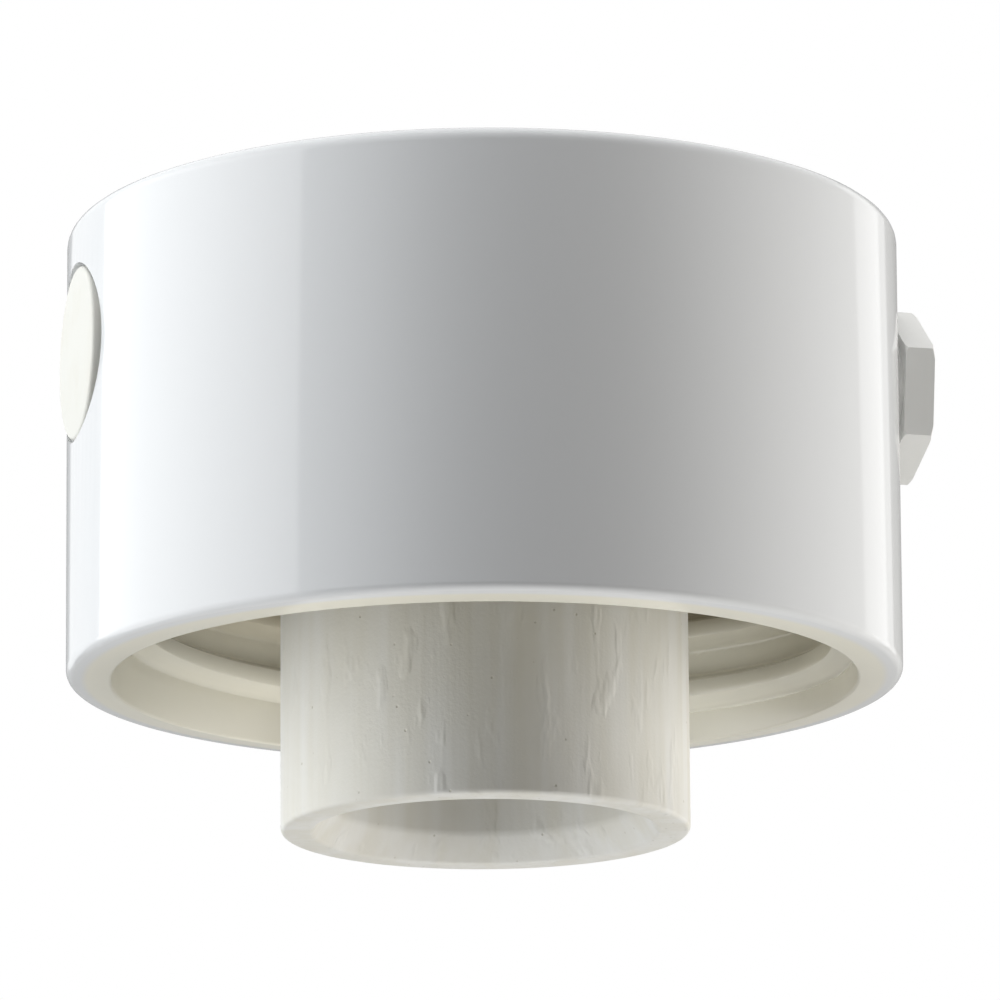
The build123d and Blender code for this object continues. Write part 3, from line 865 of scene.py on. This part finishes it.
@dataclass
class BlankingPlug:
    """The soft cup that closes the left entry."""

    finishes: Finishes
    face: float = 48.9
    head: float = 1.5
    head_radius: float = 10.5
    stem_radius: float = 8.4
    stem_end: float = 40.5
    wall: float = 1.5

    def build(self) -> Piece:
        """Spin the cup with its overhanging head."""
        outer_face = self.face + self.head
        inner = self.stem_radius - self.wall
        profile = [
            (0, outer_face),
            (self.head_radius, outer_face, 0.45),
            (self.head_radius, self.face, 0.15),
            (self.stem_radius, self.face),
            (self.stem_radius, self.stem_end, 0.6),
            (inner, self.stem_end),
            (inner, self.face),
            (0, self.face),
        ]
        plug = lathe("blanking_plug_cap", profile, PLUG_SIDE, 128)
        return deliver(plug, self.finishes, "cream_plastic", "blanking_plug")


@dataclass
class CableGland:
    """The right entry's compression screw, its thrust ring and its rubber seal."""

    finishes: Finishes
    head_face: float = 50.9
    head_thickness: float = 3.7
    across_flats: float = 18.5
    head_turn: float = 8.5
    shank_end: float = 42.7
    shank_radius: float = 8.4
    bore: float = 5.0
    chamfer: float = 0.3
    back_chamfer: float = 0.35
    thread_pitch: float = 1.5
    thread_depth: float = 0.7
    seal_inner: float = 4.0
    seal_outer: float = 8.4
    seal_low: float = 37.1
    seal_high: float = 41.4
    seal_waist: float = 0.6

    def nut(self) -> Piece:
        """Make the hollow compression screw with its hexagonal head."""
        end = self.head_face + self.head_thickness
        corner = self.across_flats / math.sqrt(3)
        clear_selection()
        bpy.ops.mesh.primitive_cylinder_add(
            vertices=6,
            radius=corner,
            depth=self.head_thickness,
            location=GLAND_SIDE.place((0, self.head_face + self.head_thickness / 2)),
            rotation=(math.pi / 2, 0, math.pi / 2),
        )
        head = settle_place("gland_nut_screw")
        turn_mesh(head, self.head_turn, "X", GLAND_SIDE.centre)
        limit = [
            (0, self.head_face - NEAR),
            (corner - self.back_chamfer, self.head_face - NEAR),
            (corner + NEAR, self.head_face + self.back_chamfer),
            (corner + NEAR, end - self.chamfer),
            (corner - 2 * self.chamfer, end + NEAR),
            (0, end + NEAR),
        ]
        combine(head, lathe("head_limit", limit, GLAND_SIDE, SMALL_STEPS), Join.COMMON)
        threads = ramp(self.shank_radius, self.shank_end, self.head_face + 0.3, 56)
        shank = [(0, self.shank_end), *threads, (0, self.head_face + 0.3)]
        screw = lathe("gland_nut_shank", shank, GLAND_SIDE, 72)
        span = (self.shank_end - 0.2, self.head_face - 0.3)
        wave_thread(screw, GLAND_SIDE, span, self.thread_pitch, self.thread_depth, 0.8)
        combine(head, screw, Join.ADD)
        bore = [
            (0, self.shank_end - 1),
            (self.bore, self.shank_end - 1),
            (self.bore, end - self.chamfer),
            (self.bore + self.chamfer, end),
            (self.bore + self.chamfer, end + 1),
            (0, end + 1),
        ]
        combine(head, lathe("nut_bore", bore, GLAND_SIDE, SMALL_STEPS), Join.CUT)
        return deliver(head, self.finishes, "grey_plastic", "gland_nut", "compression_nut")

    def thrust_ring(self) -> Piece:
        """Spin the ring between the screw and the seal."""
        profile = ring_section(5.2, 8.3, 41.5, 42.6, (0, 0.2, 0.2, 0.3))
        ring = lathe("gland_thrust_ring_disc", profile, GLAND_SIDE, SMALL_STEPS)
        return deliver(ring, self.finishes, "grey_plastic", "gland_thrust_ring", "thrust_ring")

    def seal(self) -> Piece:
        """Spin the rubber ring, with a bevel that lets it swell inwards."""
        profile = [
            (self.seal_inner, self.seal_low),
            (self.seal_outer, self.seal_low, 0.3),
            (self.seal_outer, self.seal_high, 0.3),
            (self.seal_inner + self.seal_waist, self.seal_high, 0.15),
            (self.seal_inner, self.seal_high - self.seal_waist),
            (self.seal_inner, self.seal_low),
        ]
        ring = lathe("gland_seal_ring", profile, GLAND_SIDE, SMALL_STEPS)
        return deliver(ring, self.finishes, "black_rubber", "gland_seal")

    def build(self) -> None:
        """Make the three pieces."""
        self.nut()
        self.thrust_ring()
        self.seal()


@dataclass
class LampSocket:
    """The screw shell, its rivets and the sprung centre contact."""

    finishes: Finishes
    thread_radius: float = 13.55
    thread_low: float = -61.3
    thread_high: float = -46.6
    pitch: float = 3.629
    thread_depth: float = 0.75
    thread_fade: float = 0.9
    wall: float = 0.36
    cup_radius: float = 12.6
    cup_low: float = -45.7
    foot: float = -37.7
    opening: float = 8.0
    lip: float = -62.3
    lip_flare: float = 0.65
    rivet_offset: float = 10.0
    rivet_hole: float = 1.15
    rivet_shank: float = 1.1
    rivet_head: float = 1.8
    rivet_thickness: float = 0.8
    rivet_top: float = -24.8
    guide_face: float = -39.2
    guide_flange: float = -38.4
    guide_top: float = -25.0
    stem: float = 1.5
    spring_radius: float = 2.3
    spring_wire: float = 0.45
    spring_low: float = -43.3
    spring_height: float = 4.0
    spring_turns: float = 3.5
    spring_steps: int = 32
    spring_sides: int = 12
    spring_keep: float = 0.57

    def shell(self) -> Piece:
        """Roll the threaded shell from one sheet."""
        steps = round((self.thread_high - self.thread_low) / self.pitch * 16)
        outline = [
            (self.opening, self.foot),
            (self.cup_radius, self.foot, 0.6),
            (self.cup_radius, self.cup_low),
            *ramp(self.thread_radius, self.thread_high, self.thread_low, steps),
            (self.thread_radius + self.lip_flare, self.lip),
        ]
        shell = lathe("screw_shell_rolled", outline, steps=128)
        span = (self.thread_low, self.thread_high)
        wave_thread(shell, UPRIGHT, span, self.pitch, self.thread_depth, self.thread_fade)
        take(shell)
        sheet = shell.modifiers.new("sheet", "SOLIDIFY")
        sheet.thickness = self.wall
        sheet.offset = -1
        sheet.use_even_offset = True
        bpy.ops.object.modifier_apply(modifier=sheet.name)
        for side in (1, -1):
            y = side * self.rivet_offset
            hole = rod("rivet_hole", self.rivet_hole, self.foot - 1, self.foot + 1, y, sides=32)
            combine(shell, hole, Join.CUT)
        return deliver(shell, self.finishes, "nickelled_brass", "screw_shell")

    def rivets(self) -> Piece:
        """Turn a domed rivet and copy it to the other side."""
        low = self.foot - 0.4
        high = self.rivet_top
        profile = [
            (0, low - self.rivet_thickness),
            (self.rivet_head, low - self.rivet_thickness, 0.6),
            (self.rivet_head, low),
            (self.rivet_shank, low),
            (self.rivet_shank, high),
            (self.rivet_head, high),
            (self.rivet_head, high + self.rivet_thickness, 0.6),
            (0, high + self.rivet_thickness),
        ]
        rivet = lathe("shell_rivet_pair", profile, UPRIGHT.moved(0, self.rivet_offset), 48)
        return deliver(doubled(rivet), self.finishes, "brass", "shell_rivets")

    def guide(self) -> Piece:
        """Turn the brass bush that the centre contact slides in."""
        hole = self.stem + 0.06
        profile = [
            (hole, self.guide_face),
            (4.6, self.guide_face, 0.3),
            (4.6, self.guide_flange),
            (3.0, self.guide_flange),
            (3.0, self.guide_top, 0.3),
            (hole, self.guide_top),
            (hole, self.guide_face),
        ]
        bush = lathe("contact_guide_bush", profile, steps=72, segments=4)
        return deliver(bush, self.finishes, "brass", "contact_guide")

    def plunger(self) -> Piece:
        """Turn the centre contact with its domed button and the groove of its retainer."""
        profile = [
            (0, -45.0),
            (1.8, -45.0, 0.7),
            (3.6, -44.1, 0.3),
            (3.6, -43.4, 0.15),
            (self.stem, -43.4),
            (self.stem, self.guide_top),
            (1.15, self.guide_top),
            (1.15, -24.3),
            (self.stem, -24.3),
            (self.stem, -23.7, 0.2),
            (0, -23.7),
        ]
        contact = lathe("centre_contact_plunger", profile, steps=72, segments=4)
        return deliver(contact, self.finishes, "brass", "centre_contact", "contact_plunger")

    def spring(self) -> None:
        """Wind the coil round the plunger."""
        half = self.spring_wire / 2
        start = Vector((self.spring_radius, 0, self.spring_low + half))
        angles = [2 * math.pi * step / self.spring_sides for step in range(self.spring_sides)]
        section = [start + Vector((math.cos(turn), 0, math.sin(turn))) * half for turn in angles]
        coil = draw_section("contact_spring_coil", section)
        count = round(self.spring_turns * self.spring_steps)
        lift = (self.spring_height - self.spring_wire) / count
        for _ in range(count):
            sweep_section(2 * math.pi / self.spring_steps, lift)
        close_surface()
        deliver(coil, self.finishes, "spring_steel", "contact_spring")
        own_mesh(coil)

    def build(self) -> None:
        """Make the five pieces."""
        self.shell()
        self.rivets()
        self.guide()
        self.plunger()
        self.spring()


@dataclass
class Fixings:
    """The holder screws and their washers, the ceiling screws' seals and the globe's gasket."""

    finishes: Finishes
    washer_face: float = -35.8
    screw_head: float = 3.6
    screw_head_height: float = 2.6
    screw_radius: float = 2.0
    screw_top: float = -13.8
    thread_low: float = -25.0
    thread_pitch: float = 0.7
    thread_depth: float = 0.4
    slot_depth: float = 1.17

    def screws(self) -> Piece:
        """Turn a slotted cheese-head screw and copy it to the other side."""
        seat = self.washer_face
        end = seat - self.screw_head_height
        profile = [
            (0, end),
            (self.screw_head, end, 0.5),
            (self.screw_head, seat),
            (self.screw_radius, seat),
            *ramp(self.screw_radius, seat - 0.01, self.screw_top, 120),
            (0, self.screw_top),
        ]
        place = UPRIGHT.moved(0, LUG_OFFSET)
        screw = lathe("holder_screw_pair", profile, place, 48)
        span = (self.thread_low, self.screw_top - 0.1)
        wave_thread(screw, place, span, self.thread_pitch, self.thread_depth, 0.4)
        low = (-4, LUG_OFFSET - 0.5, end - 1)
        slot = block("driver_slot", low, (4, LUG_OFFSET + 0.5, end + self.slot_depth))
        combine(screw, slot, Join.CUT)
        return deliver(doubled(screw), self.finishes, "zinc_steel", "holder_screws")

    def washers(self) -> Piece:
        """Turn a washer and copy it to the other side."""
        profile = ring_section(2.05, 4.5, self.washer_face, LUG_LEVEL, (0, 0.15, 0, 0))
        disc = lathe("holder_washer_pair", profile, UPRIGHT.moved(0, LUG_OFFSET), 64, 3)
        return deliver(doubled(disc), self.finishes, "zinc_steel", "holder_washers")

    def ceiling_seals(self) -> Piece:
        """Turn a rubber washer and copy it to the other ceiling-screw hole."""
        profile = ring_section(3.2, 5.8, -9.5, -7.5, (0.4, 0.5, 0, 0))
        place = UPRIGHT.moved(CEILING_SCREW, CEILING_SCREW)
        ring = lathe("ceiling_screw_seal_pair", profile, place, 64, 4)
        return deliver(doubled(ring), self.finishes, "black_rubber", "ceiling_screw_seals")

    def gasket(self) -> Piece:
        """Spin the silicone ring that the glass globe is screwed up against."""
        profile = ring_section(40.75, 44.25, -37.2, -34.7, (0.5, 0.6, 0, 0))
        ring = lathe("glass_gasket_ring", profile, segments=4)
        return deliver(ring, self.finishes, "silicone", "glass_gasket")

    def build(self) -> None:
        """Make the four kinds of piece."""
        self.screws()
        self.washers()
        self.ceiling_seals()
        self.gasket()


# The studio, in metres


@dataclass(frozen=True)
class Softbox:
    """A rectangular lamp round the object, placed by its angle from the camera."""

    name: str
    angle: float
    lift: float
    distance: float
    width: float
    height: float
    power: float
    tint: Colour = (1, 1, 1)
    mirrored: bool = True
    lights: bool = True


@dataclass
class Studio:
    """The photograph's camera, plain soft light, a pale floor and a white background."""

    azimuth: float = -14.0
    elevation: float = -13.15
    distance: float = 0.9
    roll: float = 0.4
    lens: float = 267.5
    middle: tuple[float, float, float] = (0, 0, -0.036)
    aside: float = 0.0020
    above: float = 0.00321
    floor: float = -1.2
    ambient: float = 0.01
    softboxes: tuple[Softbox, ...] = (
        Softbox("left_softbox", -78, 0, 0.85, 0.562, 1.5, 9.8, (0.96, 0.985, 1.0), mirrored=False),
        Softbox("left_fill_softbox", -108, 0, 0.85, 0.536, 1.5, 0.7, mirrored=False),
        Softbox("left_mirror_softbox", -88.5, 0, 0.85, 1.36, 1.5, 10.0, lights=False),
        Softbox("right_softbox", 96.5, -14, 1.0, 0.73, 1.3, 11.3, (1.0, 0.98, 0.94), mirrored=False),
        Softbox("right_strip", 133, 4, 0.9, 0.27, 1.0, 0.55),
        Softbox("low_softbox", 40, -84, 0.6, 0.6, 0.6, 0.8, (1.0, 0.98, 0.94), mirrored=False),
        Softbox("top_softbox", 0, 80, 0.8, 0.8, 0.8, 6.4, mirrored=False),
    )
    card_angle: float = 175.5
    card_distance: float = 0.6
    card_size: tuple[float, float] = (0.64, 0.9)

    def direction(self, turn: float, lift: float) -> Vector:
        """Give the direction from the object at an angle to the right of the camera and a height."""
        azimuth = math.radians(self.azimuth + turn)
        rise = math.radians(lift)
        flat = math.cos(rise)
        return Vector((math.sin(azimuth) * flat, -math.cos(azimuth) * flat, math.sin(rise)))

    def facing(self, away: Vector, distance: float) -> Matrix:
        """Give the place of something that faces the object from a direction and a distance."""
        turn = away.to_track_quat("Z", "Y").to_matrix().to_4x4()
        return Matrix.Translation(Vector(self.middle) + away * distance) @ turn

    def camera(self) -> None:
        """Set up the camera."""
        back = self.direction(0, self.elevation)
        level = (-back).to_track_quat("-Z", "Y").to_matrix()
        aim = Vector(self.middle) + level @ Vector((self.aside, self.above, 0))
        data = bpy.data.cameras.new("camera")
        data.lens = self.lens
        data.sensor_width = 36
        data.clip_start = 0.01
        camera = bpy.data.objects.new("camera", data)
        bpy.context.scene.collection.objects.link(camera)
        place = Vector(self.middle) + back * self.distance
        look = (place - aim).to_track_quat("Z", "Y").to_matrix().to_4x4()
        tilt = Matrix.Rotation(math.radians(-self.roll), 4, "Z")
        camera.matrix_world = Matrix.Translation(place) @ look @ tilt
        bpy.context.scene.camera = camera

    def light(self, box: Softbox) -> None:
        """Hang one softbox facing the object."""
        data = bpy.data.lights.new(box.name, "AREA")
        data.shape = "RECTANGLE"
        data.size = box.width
        data.size_y = box.height
        data.energy = box.power
        data.color = box.tint
        lamp = bpy.data.objects.new(box.name, data)
        bpy.context.scene.collection.objects.link(lamp)
        lamp.matrix_world = self.facing(self.direction(box.angle, box.lift), box.distance)
        lamp.visible_camera = False
        lamp.visible_glossy = box.mirrored
        lamp.visible_diffuse = box.lights

    def world(self) -> None:
        """Give a white background, and a dimmer light from all round."""
        world = bpy.data.worlds.new("studio")
        bpy.context.scene.world = world
        world.use_nodes = True
        tree = world.node_tree
        nodes = tree.nodes
        dim = nodes["Background"]
        white = nodes.new("ShaderNodeBackground")
        for background in (dim, white):
            background.inputs["Color"].default_value = (1, 1, 1, 1)
        dim.inputs["Strength"].default_value = self.ambient
        rays = nodes.new("ShaderNodeLightPath")
        seen = nodes.new("ShaderNodeMath")
        through = nodes.new("ShaderNodeMath")
        for either in (seen, through):
            either.operation = "MAXIMUM"
        mix = nodes.new("ShaderNodeMixShader")
        link = tree.links.new
        link(rays.outputs["Is Camera Ray"], seen.inputs[0])
        link(rays.outputs["Is Glossy Ray"], seen.inputs[1])
        link(seen.outputs[0], through.inputs[0])
        link(rays.outputs["Is Transmission Ray"], through.inputs[1])
        link(through.outputs[0], mix.inputs[0])
        link(dim.outputs[0], mix.inputs[1])
        link(white.outputs[0], mix.inputs[2])
        link(mix.outputs[0], nodes["World Output"].inputs["Surface"])

    def dull(self, sheet: Piece, name: str, blotch: float, shades: Sequence[Colour]) -> None:
        """Dress a sheet of the studio in a dull surface."""
        surface = Surface(name)
        shade = surface.mixed(surface.noise(blotch, 2), *shades)
        sheet.data.materials.append(surface.dress(Base_Color=shade, Roughness=0.9))

    def ground(self) -> None:
        """Lay the plain pale floor far below the holder."""
        clear_selection()
        bpy.ops.mesh.primitive_plane_add(size=12, location=(0, 0, self.floor))
        floor = bpy.context.object
        floor.name = "floor"
        self.dull(floor, "pale_floor", 700, ((0.93, 0.93, 0.93), (0.90, 0.90, 0.90)))

    def dark_card(self) -> None:
        """Stand a dark card behind the holder, seen only as the grey edge in its glaze."""
        clear_selection()
        bpy.ops.mesh.primitive_plane_add(size=1)
        card = bpy.context.object
        card.name = "dark_card"
        size = Matrix.Diagonal((*self.card_size, 1, 1))
        card.data.transform(self.facing(self.direction(self.card_angle, 0), self.card_distance) @ size)
        for rays in ("camera", "diffuse", "transmission", "shadow"):
            setattr(card, f"visible_{rays}", False)
        self.dull(card, "dark_card", 200, ((0.30, 0.30, 0.30), (0.35, 0.35, 0.35)))

    def build(self) -> None:
        """Set up everything."""
        bpy.context.scene.view_settings.view_transform = "Standard"
        self.camera()
        self.world()
        self.ground()
        self.dark_card()
        for box in self.softboxes:
            self.light(box)


def main() -> None:
    """Dress the frame, make every piece and set up the studio."""
    logging.basicConfig(level=logging.INFO, format="%(message)s")
    finishes = Finishes()
    finishes.dress_frame()
    PorcelainHousing(finishes).build()
    HolderSleeve(finishes).build()
    BlankingPlug(finishes).build()
    CableGland(finishes).build()
    LampSocket(finishes).build()
    Fixings(finishes).build()
    Studio().build()


if __name__ == "__main__":
    main()
